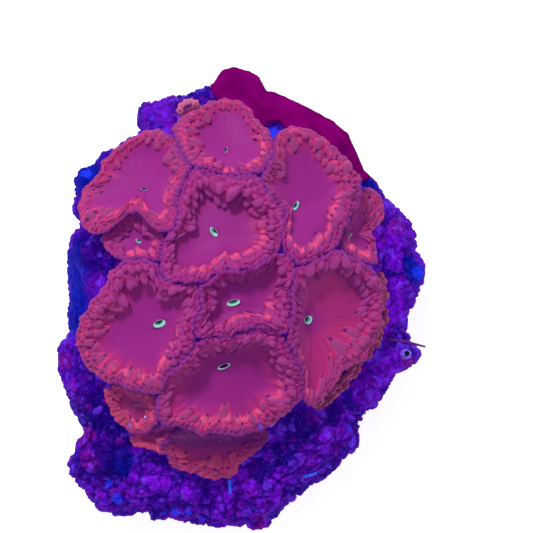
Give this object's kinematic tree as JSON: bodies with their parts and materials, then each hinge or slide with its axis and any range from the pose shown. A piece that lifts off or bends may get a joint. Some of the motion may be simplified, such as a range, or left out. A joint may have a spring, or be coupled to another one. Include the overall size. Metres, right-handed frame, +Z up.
{
  "type": "blastomussa coral on live rock",
  "caption": "Dome of fleshy frilled saucer polyps with mint mouths, crowded on a lumpy violet reef rock that rests on a flat cut.",
  "frame": {"origin": "middle of the bounding box's underside, on the flat cut face that the rock rests on", "axes": "+Z up out of the dome of polyps, +Y along the rock's length, towards the crimson crust, +X to the right in the picture"},
  "size_m": [0.127, 0.1628, 0.0745],
  "materials": {
    "flesh": "satin",
    "dusky_flesh": "satin",
    "crimson_crust": "satin",
    "reef_rock": "rough"
  },
  "bodies": {
    "root": {"rock": "reef_rock", "crimson_crust": "crimson_crust", "polyp_right_fold": "dusky_flesh", "polyp_top": "flesh", "polyp_upper_left": "flesh", "polyp_upper_right": "flesh", "polyp_centre": "flesh", "polyp_left": "flesh", "polyp_middle": "flesh", "polyp_right": "flesh", "polyp_lower": "flesh", "polyp_bottom": "flesh", "polyp_small_left": "flesh", "polyp_small_right": "flesh", "polyp_small_lower_left": "flesh", "polyp_bottom_left": "flesh", "polyp_bud": "flesh"}
  },
  "joints": []
}
